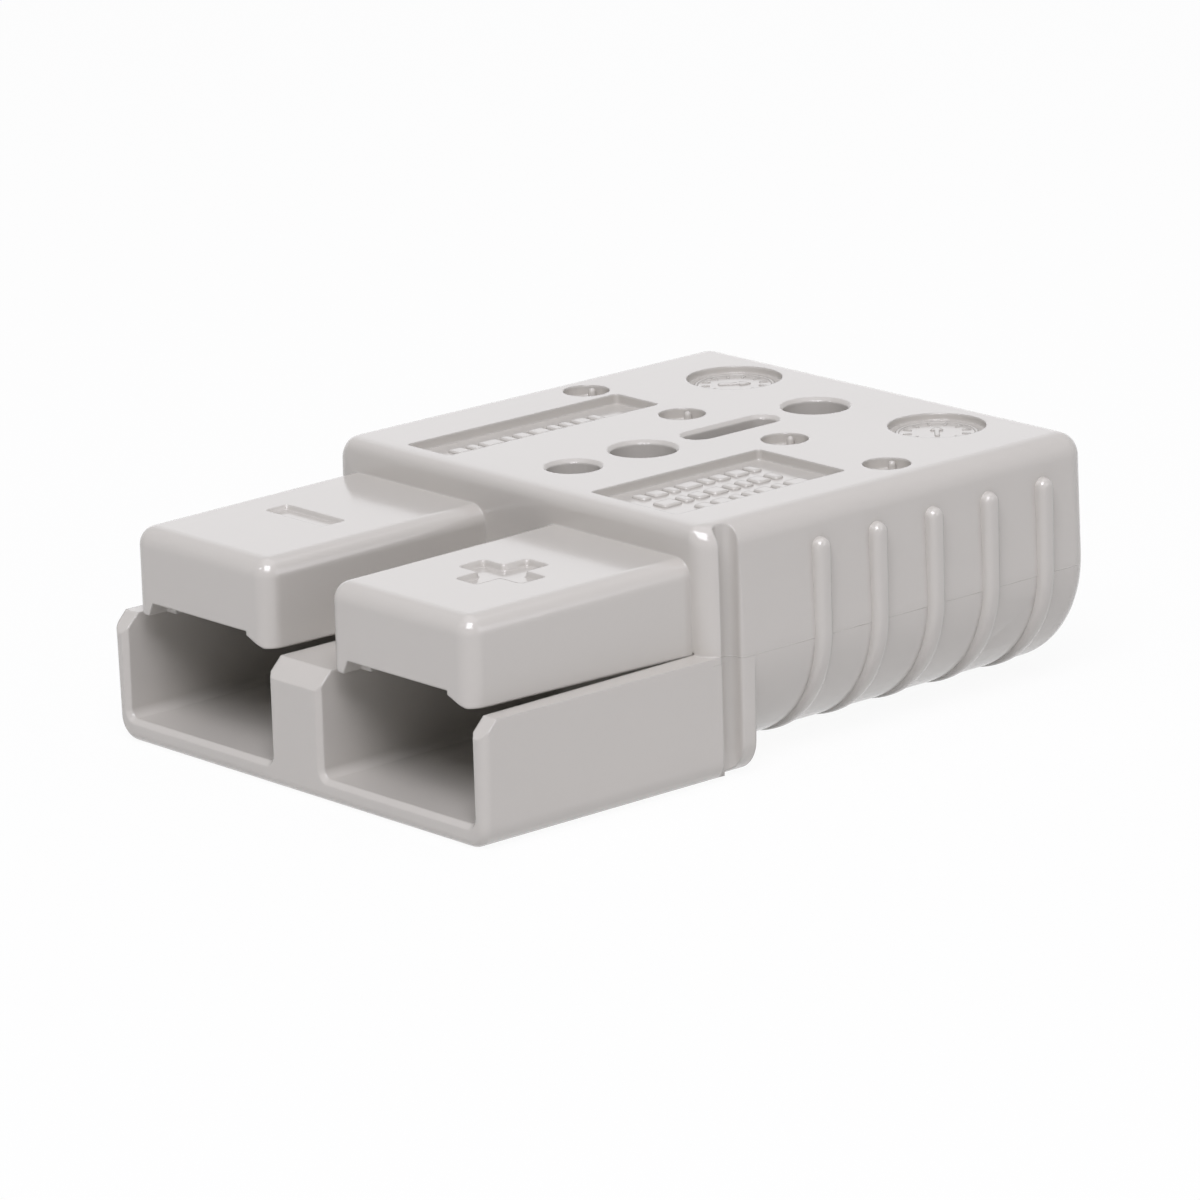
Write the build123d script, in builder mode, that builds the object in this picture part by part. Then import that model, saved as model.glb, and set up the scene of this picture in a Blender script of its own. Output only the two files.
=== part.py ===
from build123d import *
import os
from math import radians, sqrt, tan

# Two-pole genderless power connector. One moulded housing mates with a copy of itself turned over about
# the mating axis. A contact is pushed into each pole from the rear, and a leaf spring lies above its blade.
# Millimetres. The mating end faces -Y, the cables leave at +Y, +Z is up and the base lies on Z = 0.
# A "station" is a distance behind the mating end.

# Envelope
width = 56.0
height = 25.4
side_draft = 1.5

# Lengths along the housing, from the mating end backwards
hood_length = 28.5
front_block_length = 1.9
groove_width = 2.4
thin_flange_thickness = 1.7
rear_body_length = 45.5

# Mating end
outer_wall = 1.95
middle_wall = 7.6
hood_floor = 2.3
mouth_draft = 0.5
mouth_run_in = 1.0
mouth_overcut = 0.3
mouth_corner_radius = 0.9
boss_setback = 0.9
boss_side_clearance = 0.5
boss_top_clearance = 0.95
parting_clearance = 0.2
wall_lead_in = 1.8

# Boss underside: the lead-in notch in each front wall
boss_front_wall = 2.2
notch_offset = 2.3
notch_depth = 1.6
notch_left_run = 0.8
notch_right_run = 3.0
notch_land = 0.55
notch_step = 0.4

# Groove round the sides
groove_depth = 1.7
groove_floor_radius = 0.9
groove_lip_radius = 0.6

# Rear body and grip ribs
rear_base_relief = 0.4
rib_count = 5
rib_front_inset = 8.8
rib_rear_inset = 6.5
rib_width = 2.3
rib_height = 0.8
rib_chamfer = 0.6
rib_root = 0.7
rib_top_drop = 3.4
rib_run_out = 0.1

# Edges
edge_radius = 2.4
base_edge_radius = 2.4
thin_flange_corner_radius = 3.5
hood_rim_radius = 1.0
mouth_rim_chamfer = 0.5
boss_edge_radius = 1.9
hole_edge_chamfer = 0.35

# Holes on the centreline
screw_hole_diameter = 6.6
screw_hole_front_inset = 11.1
screw_hole_rear_inset = 11.0
locator_hole_diameter = 5.3
locator_hole_inset = 1.9
slot_end_wall = 2.55
slot_width = 3.2
core_depth = 9.0

# Recesses in the top face
recess_front_inset = 2.4
long_recess_width = 6.6
long_recess_length = 28.0
long_recess_shift = 0.7
wide_recess_width = 12.5
wide_recess_length = 22.3
recess_depth = 1.0
recess_corner_radius = 0.5
disc_diameter = 9.9
disc_rear_inset = 8.4
disc_depth = 0.7

# Gate pockets: four round dimples in a row across the top
gate_pocket_diameter = 4.8
gate_pocket_depth = 1.1
gate_inner_offset = 7.6
gate_outer_inset = 5.8
gate_shift = 0.4

# Contact: a wire barrel and a blade in one piece
barrel_diameter = 14.4
barrel_bore = 11.2
barrel_length = 22.0
cable_stretch = 13.6
barrel_mouth_chamfer = 0.6
wire_depth = 18.5
blade_width = 12.4
blade_thickness = 2.4
blade_tip_station = 7.0
blade_tip_bevel = 0.9
blade_step_run = 1.0
blade_root = 3.0
hook_drop = 0.8
hook_length = 2.0
hook_slope = 0.6
hook_clearance = 0.2

# Leaf spring: a bow that presses on the blade just ahead of its step, and a tail under the channel roof
spring_width = 10.5
spring_thickness = 0.7
spring_front_gap = 0.8
spring_tail_gap = 2.0
spring_press_lead = 5.3
spring_bow_run = 7.5
spring_bow = 2.5
spring_bend_radius = 3.0

# Clearances of the contact and its spring
bore_clearance = 0.45
channel_side_clearance = 0.5
channel_base_clearance = 0.3
seat_gap = 0.1
cable_bore_step = 0.6
cable_bore_lead = 0.5
bore_entry_chamfer = 0.8

# Values that follow from the ones above
half_width = width / 2
mid_z = height / 2
draft_slope = tan(radians(side_draft))
top_half_width = half_width - mid_z * draft_slope
groove_station = hood_length + front_block_length
groove_middle = groove_station + groove_width / 2
thin_flange_station = groove_station + groove_width
rear_body_station = thin_flange_station + thin_flange_thickness
length = rear_body_station + rear_body_length
front_y = -length / 2

mouth_outer = half_width - outer_wall
mouth_inner = middle_wall / 2
mouth_width = mouth_outer - mouth_inner
pole_x = (mouth_outer + mouth_inner) / 2
mouth_height = mid_z + mouth_overcut - hood_floor
mouth_depth = hood_length + mouth_run_in
mouth_taper = mouth_depth * tan(radians(mouth_draft))
boss_width = mouth_width - 2 * boss_side_clearance
boss_base = mid_z + parting_clearance
boss_top = height - hood_floor - boss_top_clearance
boss_height = boss_top - boss_base
notch_width = boss_width - notch_offset - notch_left_run - notch_right_run - notch_land
boss_length = mouth_depth - boss_setback
boss_taper = boss_length * tan(radians(mouth_draft))
boss_front_y = front_y + boss_setback

bore_radius = barrel_diameter / 2 + bore_clearance
cable_bore_radius = bore_radius + cable_bore_step
barrel_end_station = length - cable_stretch
barrel_station = barrel_end_station - barrel_length
hook_z = mid_z - hook_drop
hook_end_station = blade_tip_station + hook_length + hook_slope
blade_high_z = mid_z + hook_drop + hook_clearance
blade_high_station = hood_length - hook_end_station
blade_step_station = blade_high_station - blade_step_run

spring_press_z = mid_z + blade_thickness + seat_gap + spring_thickness / 2
spring_tail_z = spring_press_z + spring_bow
spring_front_station = boss_setback + boss_front_wall + spring_front_gap
spring_press_station = blade_step_station - spring_press_lead

channel_width = blade_width + 2 * channel_side_clearance
channel_base = hook_z - channel_base_clearance
channel_roof = spring_tail_z + spring_thickness / 2 + seat_gap

rear_corner_radius = mid_z - rear_base_relief
rib_turn_radius = rear_corner_radius - rib_run_out
rib_x = half_width + rib_height
rib_top_z = height - rib_top_drop
rib_first_station = rear_body_station + rib_front_inset
rib_pitch = (length - rib_rear_inset - rib_first_station) / (rib_count - 1)

screw_hole_station = rear_body_station + screw_hole_front_inset
screw_hole_spacing = length - screw_hole_rear_inset - screw_hole_station
locator_hole_station = rear_body_station + locator_hole_inset
slot_station = screw_hole_station + screw_hole_spacing / 2
slot_length = screw_hole_spacing - screw_hole_diameter - 2 * slot_end_wall
long_recess_x = -pole_x - long_recess_shift
long_recess_station = hood_length + recess_front_inset + long_recess_length / 2
wide_recess_station = hood_length + recess_front_inset + wide_recess_length / 2
disc_station = length - disc_rear_inset
gate_outer_offset = half_width - gate_outer_inset
gate_station = slot_station + gate_shift

quarter_turn = 90.0
bevel_angle = 45.0
sides = (-1, 1)
pole_names = {-1: "negative", 1: "positive"}


def cross_plane(station):
    """Plane square to the mating axis at a station: local x is X, local y is Z, extrusions go forwards."""
    return Plane.XZ.offset(-(front_y + station))


def runs_lengthwise(edge):
    """True for an edge that lies closer to the mating axis than to the cross planes."""
    return abs((edge % 0).Y) > sqrt(0.5)


def drafted_corners(base_z):
    """Corners of the housing's section above base_z, widest at the parting plane and drafted both ways."""
    base_half_width = half_width - (mid_z - base_z) * draft_slope
    return [
        (-base_half_width, base_z),
        (base_half_width, base_z),
        (half_width, mid_z),
        (top_half_width, height),
        (-top_half_width, height),
        (-half_width, mid_z),
    ]


os.makedirs("parts", exist_ok=True)

# Room of one mouth: drafted so that it narrows inwards, with rounded lower corners
with BuildPart() as mouth:
    Wedge(
        mouth_width,
        mouth_depth,
        mouth_height,
        mouth_taper,
        mouth_taper,
        mouth_width - mouth_taper,
        mouth_height,
        align=(Align.CENTER, Align.MIN, Align.MIN),
    )
    fillet(mouth.edges().filter_by(runs_lengthwise).group_by(Axis.Z)[0], mouth_corner_radius)
    with BuildSketch(Plane.XZ) as mouth_rim:
        with Locations((0, -mouth_rim_chamfer)):
            Rectangle(
                mouth_width + 2 * mouth_rim_chamfer,
                mouth_height + 2 * mouth_rim_chamfer,
                align=(Align.CENTER, Align.MIN),
            )
        fillet(mouth_rim.vertices().group_by(Axis.Z)[0], mouth_corner_radius + mouth_rim_chamfer)
    extrude(amount=-mouth_rim_chamfer, taper=bevel_angle)

# One boss: drafted towards its tip, rounded along the top and round the front
with BuildPart() as boss:
    Wedge(
        boss_width - 2 * boss_taper,
        boss_length,
        boss_height - 2 * boss_taper,
        -boss_taper,
        -boss_taper,
        boss_width - boss_taper,
        boss_height - boss_taper,
        align=(Align.CENTER, Align.MIN, Align.MIN),
    )
    boss_edges = boss.edges().filter_by(runs_lengthwise).group_by(Axis.Z)[-1]
    boss_edges += boss.faces().sort_by(Axis.Y)[0].edges().sort_by(Axis.Z)[1:]
    fillet(boss_edges, boss_edge_radius)

with BuildPart() as housing:
    # Rear body: lower corners as round as its lower half, which follow the cable bores
    with BuildSketch(cross_plane(length)) as rear_section:
        with BuildLine():
            Polyline(*drafted_corners(rear_base_relief), close=True)
        make_face()
        fillet(rear_section.vertices().group_by(Axis.Y)[0], rear_corner_radius)
        fillet(rear_section.vertices().group_by(Axis.Y)[-1], edge_radius)
    extrude(amount=length - groove_middle)
    fillet(housing.faces().sort_by(Axis.Y)[-1].edges(), edge_radius)

    # Front block and thin flange: one section, rounded all round its front edge
    with BuildSketch(cross_plane(rear_body_station)) as block_section:
        with BuildLine():
            Polyline(*drafted_corners(0), close=True)
        make_face()
        fillet(block_section.vertices().group_by(Axis.Y)[0], thin_flange_corner_radius)
        fillet(block_section.vertices().group_by(Axis.Y)[-1], edge_radius)
    extrude(amount=rear_body_station - hood_length)
    fillet(housing.faces().sort_by(Axis.Y)[0].edges(), edge_radius)

    # Hood: the lower half carried forward to the mating end
    with BuildSketch(cross_plane(groove_middle)) as hood_section:
        with BuildLine():
            Polyline(*drafted_corners(0), close=True)
        make_face()
        split(bisect_by=Plane.XZ.offset(-mid_z), keep=Keep.TOP)
        fillet(hood_section.vertices().group_by(Axis.Y)[0], base_edge_radius)
    extrude(amount=groove_middle)
    fillet(housing.faces().sort_by(Axis.Y)[0].edges().sort_by(Axis.Z)[:-1], hood_rim_radius)

    # Mouths: open towards the mating end and upwards
    with Locations((-pole_x, front_y, hood_floor), (pole_x, front_y, hood_floor)):
        add(mouth.part, mode=Mode.SUBTRACT)

    # Lead-in along the front of the three wall tops
    with BuildSketch(Plane.YZ):
        with BuildLine():
            Polyline(
                (front_y, mid_z - wall_lead_in),
                (front_y, mid_z),
                (front_y + wall_lead_in, mid_z),
                close=True,
            )
        make_face()
    extrude(amount=width, both=True, mode=Mode.SUBTRACT)

    # Bosses: each reaches forward over its mouth
    with Locations((-pole_x, boss_front_y, boss_base), (pole_x, boss_front_y, boss_base)):
        add(boss.part)

    # Boss undersides: lead-in notch in each front wall, steep on the left and easy on the right
    with BuildSketch(cross_plane(boss_setback + boss_front_wall)):
        for pole in (-pole_x, pole_x):
            left = pole - boss_width / 2 + notch_offset
            flat_left = left + notch_left_run
            flat_right = flat_left + notch_width
            with BuildLine():
                Polyline(
                    (left, mid_z),
                    (left, boss_base),
                    (flat_left, boss_base + notch_depth),
                    (flat_right, boss_base + notch_depth),
                    (flat_right, boss_base + notch_depth - notch_step),
                    (flat_right + notch_right_run, boss_base),
                    (flat_right + notch_right_run, mid_z),
                    close=True,
                )
            make_face()
    extrude(amount=boss_front_wall + boss_setback, mode=Mode.SUBTRACT)

    # Contact channels: from the bosses' front walls to the bores, open downwards inside the mouths
    with BuildSketch(cross_plane(barrel_station)):
        with Locations((-pole_x, channel_base), (pole_x, channel_base)):
            Rectangle(channel_width, channel_roof - channel_base, align=(Align.CENTER, Align.MIN))
    extrude(amount=barrel_station - boss_setback - boss_front_wall, mode=Mode.SUBTRACT)

    # Cable bores: a seat for each barrel, and a wider stretch behind it for the cable
    with BuildSketch(cross_plane(length)):
        with Locations((-pole_x, mid_z), (pole_x, mid_z)):
            Circle(bore_radius)
    extrude(amount=length - barrel_station + seat_gap, mode=Mode.SUBTRACT)
    with BuildSketch(cross_plane(length)):
        with Locations((-pole_x, mid_z), (pole_x, mid_z)):
            Circle(cable_bore_radius)
    extrude(amount=length - barrel_end_station - cable_bore_lead, mode=Mode.SUBTRACT)
    with BuildSketch(cross_plane(length)):
        with Locations((-pole_x, mid_z), (pole_x, mid_z)):
            Circle(cable_bore_radius + bore_entry_chamfer)
    extrude(amount=bore_entry_chamfer, taper=bevel_angle, mode=Mode.SUBTRACT)

    # Groove down each side, with a rounded floor and rounded lips
    for side in sides:
        with BuildSketch(Plane.XY) as groove:
            with Locations((side * half_width, front_y + groove_middle)):
                Rectangle(2 * groove_depth, groove_width)
            fillet(groove.vertices().sort_by(lambda corner: abs(corner.X))[:2], groove_floor_radius)
            with Locations((side * half_width, front_y + groove_middle)):
                Rectangle(2 * groove_lip_radius, groove_width + 2 * groove_lip_radius)
            with Locations(
                (side * (half_width - groove_lip_radius), front_y + groove_station - groove_lip_radius),
                (side * (half_width - groove_lip_radius), front_y + thin_flange_station + groove_lip_radius),
            ):
                Circle(groove_lip_radius, mode=Mode.SUBTRACT)
        extrude(amount=height, mode=Mode.SUBTRACT)

    # Screw holes right through, and two blind cores between them
    with Locations(
        (0, front_y + screw_hole_station, height),
        (0, front_y + screw_hole_station + screw_hole_spacing, height),
    ):
        Hole(screw_hole_diameter / 2)
    with BuildSketch(Plane.XY.offset(height)):
        with Locations((0, front_y + locator_hole_station)):
            Circle(locator_hole_diameter / 2)
        with Locations((0, front_y + slot_station)):
            SlotOverall(slot_length, slot_width, rotation=90)
    extrude(amount=-core_depth, mode=Mode.SUBTRACT)
    for rim in housing.faces().sort_by(Axis.Z)[-1].inner_wires():
        chamfer(rim.edges(), hole_edge_chamfer)

    # Recesses in the top face
    with BuildSketch(Plane.XY.offset(height)):
        with Locations((long_recess_x, front_y + long_recess_station)):
            RectangleRounded(long_recess_width, long_recess_length, recess_corner_radius)
        with Locations((pole_x, front_y + wide_recess_station)):
            RectangleRounded(wide_recess_width, wide_recess_length, recess_corner_radius)
    extrude(amount=-recess_depth, mode=Mode.SUBTRACT)
    with BuildSketch(Plane.XY.offset(height)):
        with Locations((-pole_x, front_y + disc_station), (pole_x, front_y + disc_station)):
            Circle(disc_diameter / 2)
    extrude(amount=-disc_depth, mode=Mode.SUBTRACT)

    # Gate pockets
    gate_xs = (-gate_outer_offset, -gate_inner_offset, gate_inner_offset, gate_outer_offset)
    with BuildSketch(Plane.XY.offset(height)):
        with Locations([(gate_x, front_y + gate_station) for gate_x in gate_xs]):
            Circle(gate_pocket_diameter / 2)
    extrude(amount=-gate_pocket_depth, mode=Mode.SUBTRACT)

    # Grip ribs: chamfered bars that run down each side and fade out round the lower corner
    for index in range(rib_count):
        rib_station = rib_first_station + index * rib_pitch
        for side in sides:
            with BuildLine(cross_plane(rib_station)):
                rib_side = Line((side * rib_x, rib_top_z), (side * rib_x, mid_z))
                JernArc(rib_side @ 1, rib_side % 1, rib_turn_radius, -side * quarter_turn)
            with BuildSketch(Plane.XY.offset(rib_top_z)) as rib_section:
                with Locations((side * (rib_x - (rib_height + rib_root) / 2), front_y + rib_station)):
                    Rectangle(rib_height + rib_root, rib_width)
                chamfer(rib_section.vertices().sort_by(lambda corner: -abs(corner.X))[:2], rib_chamfer)
            sweep()
            rib_end = housing.faces(Select.LAST).sort_by(Axis.Z)[-1]
            chamfer(rib_end.edges().sort_by(lambda edge: abs(edge.center().X))[1:], rib_chamfer)
    split(bisect_by=Plane.XY)
housing.part.label = "housing"
export_step(housing.part, "parts/housing.step")

for side in sides:
    with BuildPart() as contact:
        # Blade: hooked tip, contact face on the parting plane, then raised clear of the mate's hook
        with BuildSketch(Plane.YZ.offset(side * pole_x)):
            tip_y = front_y + blade_tip_station
            step_y = front_y + blade_step_station
            high_y = front_y + blade_high_station
            root_y = front_y + barrel_station + blade_root
            with BuildLine():
                Polyline(
                    (tip_y, hook_z),
                    (tip_y + hook_length, hook_z),
                    (tip_y + hook_length + hook_slope, mid_z),
                    (step_y, mid_z),
                    (high_y, blade_high_z),
                    (root_y, blade_high_z),
                    (root_y, blade_high_z + blade_thickness),
                    (high_y, blade_high_z + blade_thickness),
                    (step_y, mid_z + blade_thickness),
                    (tip_y + blade_tip_bevel, mid_z + blade_thickness),
                    (tip_y, mid_z + blade_thickness - blade_tip_bevel),
                    close=True,
                )
            make_face()
        extrude(amount=blade_width / 2, both=True)

        # Barrel with its wire hole
        with BuildSketch(cross_plane(barrel_end_station)):
            with Locations((side * pole_x, mid_z)):
                Circle(barrel_diameter / 2)
        extrude(amount=barrel_length)
        chamfer(contact.faces().sort_by(Axis.Y)[-1].edges(), barrel_mouth_chamfer)
        with BuildSketch(cross_plane(barrel_end_station)):
            with Locations((side * pole_x, mid_z)):
                Circle(barrel_bore / 2)
        extrude(amount=wire_depth, mode=Mode.SUBTRACT)
    contact.part.label = f"contact_{pole_names[side]}"
    export_step(contact.part, f"parts/contact_{pole_names[side]}.step")

for side in sides:
    with BuildPart() as spring:
        with BuildSketch(Plane.YZ.offset(side * pole_x)):
            with BuildLine():
                FilletPolyline(
                    (front_y + spring_front_station, spring_tail_z),
                    (front_y + spring_press_station, spring_press_z),
                    (front_y + spring_press_station + spring_bow_run, spring_tail_z),
                    (front_y + barrel_station - spring_tail_gap, spring_tail_z),
                    radius=spring_bend_radius,
                )
            trace(line_width=spring_thickness)
        extrude(amount=spring_width / 2, both=True)
    spring.part.label = f"spring_{pole_names[side]}"
    export_step(spring.part, f"parts/spring_{pole_names[side]}.step")
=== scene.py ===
"""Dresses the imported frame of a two-pole genderless power connector and stands it in a plain studio.

Lengths are in metres. The mating end faces -Y, the cables leave at +Y and the base lies on Z = 0. A station
is a distance behind the mating end.
"""

import logging
import math
from dataclasses import dataclass, field
from enum import Enum

import bmesh
import bpy
import numpy as np
from mathutils import Matrix, Vector

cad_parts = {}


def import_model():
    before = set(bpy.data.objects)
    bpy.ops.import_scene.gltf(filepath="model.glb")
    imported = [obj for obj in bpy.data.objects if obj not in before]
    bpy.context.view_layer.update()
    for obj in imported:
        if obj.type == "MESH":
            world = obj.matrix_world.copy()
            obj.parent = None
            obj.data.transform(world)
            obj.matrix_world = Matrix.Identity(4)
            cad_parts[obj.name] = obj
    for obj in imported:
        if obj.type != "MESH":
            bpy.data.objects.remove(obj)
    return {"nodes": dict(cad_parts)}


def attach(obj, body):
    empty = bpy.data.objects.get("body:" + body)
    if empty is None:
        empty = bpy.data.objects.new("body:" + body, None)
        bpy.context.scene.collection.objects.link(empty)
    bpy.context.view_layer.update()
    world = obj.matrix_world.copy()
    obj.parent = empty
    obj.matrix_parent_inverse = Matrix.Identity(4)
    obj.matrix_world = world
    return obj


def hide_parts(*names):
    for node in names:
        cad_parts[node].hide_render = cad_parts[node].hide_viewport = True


LOG = logging.getLogger("connector")
MM = 0.001
MATING_END_Y = -40.0 * MM
PARTING_Z = 12.7 * MM
TOP_Z = 25.4 * MM
POLE_X = 14.925 * MM
MERGE_DISTANCE = 0.001 * MM


class Slot(Enum):
    """Names of material slots; a metal part holds one, but nothing reads it."""

    HOUSING = "housing_plastic"
    CONTACT = "contact_metal"
    SPRING = "spring_steel"


class Pole(Enum):
    """The two poles and the side that each lies on."""

    NEGATIVE = -1
    POSITIVE = 1

    @property
    def x(self) -> float:
        """Returns X of the middle of the pole's boss and bore."""
        return self.value * POLE_X


def at_station(station: float | np.ndarray) -> float | np.ndarray:
    """Returns Y of a station."""
    return MATING_END_Y + station


def grid_quads(rows: int, columns: int, closed: bool = True) -> np.ndarray:
    """Joins a grid of points, numbered row by row, into four-sided faces.

    Face (i, j) joins points (i, j), (i, j + 1), (i + 1, j + 1) and (i + 1, j), where column numbers wrap
    round when the rows are closed.

    Args:
        rows: Number of rows.
        columns: Points in a row.
        closed: True if the last point of a row joins the first.

    Returns:
        Point numbers, four to a face.
    """
    i, j = np.meshgrid(np.arange(rows - 1), np.arange(columns if closed else columns - 1), indexing="ij")
    k = (j + 1) % columns
    corners = (i * columns + j, i * columns + k, (i + 1) * columns + k, (i + 1) * columns + j)
    return np.stack(corners, axis=-1).reshape(-1, 4)


def rounded_outline(corners: np.ndarray, radius: float, offset: float, steps: int) -> np.ndarray:
    """Rounds the corners of a closed outline and moves it outwards, with as many points at any offset.

    At a corner that turns by an angle t, the arc's centre lies radius * tan(|t| / 2) back along the side and
    radius to the side it turns to. Its points are centre - n * (sign(t) * radius + offset), where n is the
    side's left normal turned from 0 to t.

    Args:
        corners: Corners in order, anticlockwise, as rows of x and y.
        radius: Radius of every corner before the move.
        offset: Distance outwards.
        steps: Points on each arc.

    Returns:
        Points of the outline as rows of x and y.
    """
    into = corners - np.roll(corners, 1, axis=0)
    into /= np.linalg.norm(into, axis=1, keepdims=True)
    away = np.roll(into, -1, axis=0)
    turn = np.arctan2(into[:, 0] * away[:, 1] - into[:, 1] * away[:, 0], (into * away).sum(axis=1))
    bend = np.sign(turn)
    left = np.stack((-into[:, 1], into[:, 0]), axis=1)
    back = radius * np.tan(np.abs(turn) / 2)
    centre = corners - into * back[:, None] + left * (bend * radius)[:, None]
    angle = turn[:, None] * np.linspace(0.0, 1.0, steps)
    cosine, sine = np.cos(angle), np.sin(angle)
    left_x, left_y = left[:, :1], left[:, 1:]
    normal = np.stack((left_x * cosine - left_y * sine, left_x * sine + left_y * cosine), axis=-1)
    return (centre[:, None, :] - normal * (bend * radius + offset)[:, None, None]).reshape(-1, 2)


def box_corners(length: float, width: float) -> np.ndarray:
    """Returns the corners of a rectangle about the origin, anticlockwise, with its length along x."""
    return np.array([(-1, -1), (1, -1), (1, 1), (-1, 1)]) * np.array([length, width]) / 2


def cross_corners(span: float, arm: float) -> np.ndarray:
    """Lays out an upright cross about the origin: half of its corners, and the same turned by half a turn.

    Args:
        span: Length from end to end.
        arm: Width of an arm.

    Returns:
        Corners, anticlockwise, as rows of x and y.
    """
    s, a = span / 2, arm / 2
    half = np.array([(-a, -s), (a, -s), (a, -a), (s, -a), (s, a), (a, a)])
    return np.concatenate((half, -half))


def arrow_corners() -> np.ndarray:
    """Lays out a dial's arrow, which points along x, from sizes in millimetres.

    Returns:
        Corners, anticlockwise, as rows of x and y.
    """
    tail, neck, tip, shaft, barb = -1.7, 0.5, 1.8, 0.25, 0.75
    below = [(tail, -shaft), (neck, -shaft), (neck, -barb)]
    above = [(neck, barb), (neck, shaft), (tail, shaft)]
    return MM * np.array([*below, (tip, 0.0), *above])


def ring_points(radius: float, count: int) -> np.ndarray:
    """Lays out a circle about the origin: a point is radius * (cos, sin) of evenly spaced angles.

    Args:
        radius: Radius of the circle.
        count: Number of points.

    Returns:
        Points as rows of x and y.
    """
    angle = np.linspace(0.0, 2 * np.pi, count, endpoint=False)
    return radius * np.stack((np.cos(angle), np.sin(angle)), axis=1)


@dataclass
class Shells:
    """Closed shells that are put into one mesh."""

    points: list[np.ndarray] = field(default_factory=list)
    faces: list[list[int]] = field(default_factory=list)
    count: int = 0

    def add(self, rings: np.ndarray, first_cap: bool = True, last_cap: bool = True) -> None:
        """Adds the shell that runs through rings of points.

        Args:
            rings: Points as rings by points by x, y and z.
            first_cap: True if a face closes the first ring.
            last_cap: True if a face closes the last ring.
        """
        rows, columns = rings.shape[:2]
        self.points.append(rings.reshape(-1, 3))
        self.faces += (grid_quads(rows, columns) + self.count).tolist()
        if first_cap:
            self.faces.append((np.arange(columns)[::-1] + self.count).tolist())
        if last_cap:
            self.faces.append((np.arange(columns) + (rows - 1) * columns + self.count).tolist())
        self.count += rows * columns

    def add_stack(
        self, outlines: list[np.ndarray], heights: list[float], place: Vector, turn: float = 0.0
    ) -> None:
        """Adds a block through flat outlines at rising heights: a point is place + turned(x, y) + height * z.

        Args:
            outlines: Outlines with the same number of points, as rows of x and y.
            heights: Height of each outline above the place.
            place: Where the block's origin goes.
            turn: Angle that the outlines are turned by, in radians.
        """
        flat = np.stack(outlines)
        cosine, sine = math.cos(turn), math.sin(turn)
        x = flat[..., 0] * cosine - flat[..., 1] * sine + place.x
        y = flat[..., 0] * sine + flat[..., 1] * cosine + place.y
        z = np.broadcast_to(np.array(heights)[:, None] + place.z, x.shape)
        self.add(np.stack((x, y, z), axis=-1))

    def add_block(
        self,
        corners: np.ndarray,
        radius: float,
        levels: tuple[tuple[float, float], ...],
        place: Vector,
        turn: float = 0.0,
        steps: int = 6,
    ) -> None:
        """Adds a block with rounded corners that is wider or narrower from level to level.

        Args:
            corners: Corners of its outline, anticlockwise, as rows of x and y.
            radius: Radius of every corner.
            levels: Rising heights above the place, each with the distance that the outline is moved outwards.
            place: Where the block's origin goes.
            turn: Angle that the outline is turned by, in radians.
            steps: Points on each rounded corner.
        """
        outlines = [rounded_outline(corners, radius, offset, steps) for height, offset in levels]
        self.add_stack(outlines, [height for height, offset in levels], place, turn)

    def to_object(self, name: str) -> bpy.types.Object:
        """Makes one object from the shells, with its normals outwards.

        Args:
            name: Name of the piece.

        Returns:
            The object.
        """
        obj = add_object(name, np.concatenate(self.points), self.faces)
        settle_mesh(obj, recalculate=True)
        return obj


def add_object(name: str, points: np.ndarray, faces: list[list[int]]) -> bpy.types.Object:
    """Makes an object at the origin from points and faces.

    Args:
        name: Name of the piece.
        points: Points as rows of x, y and z.
        faces: Point numbers of each face.

    Returns:
        The object, linked to the scene.
    """
    mesh = bpy.data.meshes.new(name)
    mesh.from_pydata(points.tolist(), [], faces)
    obj = bpy.data.objects.new(name, mesh)
    bpy.context.scene.collection.objects.link(obj)
    return obj


def settle_mesh(obj: bpy.types.Object, recalculate: bool) -> None:
    """Merges points that lie on each other and clears faces of no area.

    Args:
        obj: The piece.
        recalculate: True if the normals are turned outwards afresh.
    """
    work = bmesh.new()
    work.from_mesh(obj.data)
    bmesh.ops.remove_doubles(work, verts=work.verts, dist=MERGE_DISTANCE)
    bmesh.ops.dissolve_degenerate(work, edges=work.edges, dist=MERGE_DISTANCE / 10)
    if recalculate:
        bmesh.ops.recalc_face_normals(work, faces=work.faces)
    work.to_mesh(obj.data)
    work.free()


def shade(obj: bpy.types.Object, sharp_degrees: float) -> None:
    """Shades a piece smooth, with its broad faces kept flat.

    Args:
        obj: The piece.
        sharp_degrees: Angle past which an edge stays sharp.
    """
    obj.data.shade_smooth()
    obj.data.set_sharp_from_angle(angle=math.radians(sharp_degrees))
    weighted = obj.modifiers.new("broad_faces_flat", "WEIGHTED_NORMAL")
    weighted.keep_sharp = True


def merged_copy(node: bpy.types.Object, name: str) -> bpy.types.Object:
    """Copies a frame node's loose triangles into one closed mesh.

    Args:
        node: The frame's object.
        name: Name of the copy.

    Returns:
        The copy, without materials.
    """
    source = node.data
    points = np.empty(len(source.vertices) * 3)
    source.vertices.foreach_get("co", points)
    corners = np.empty(len(source.loops), dtype=int)
    source.loops.foreach_get("vertex_index", corners)
    obj = add_object(name, points.reshape(-1, 3), corners.reshape(-1, 3).tolist())
    settle_mesh(obj, recalculate=False)
    return obj


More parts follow.
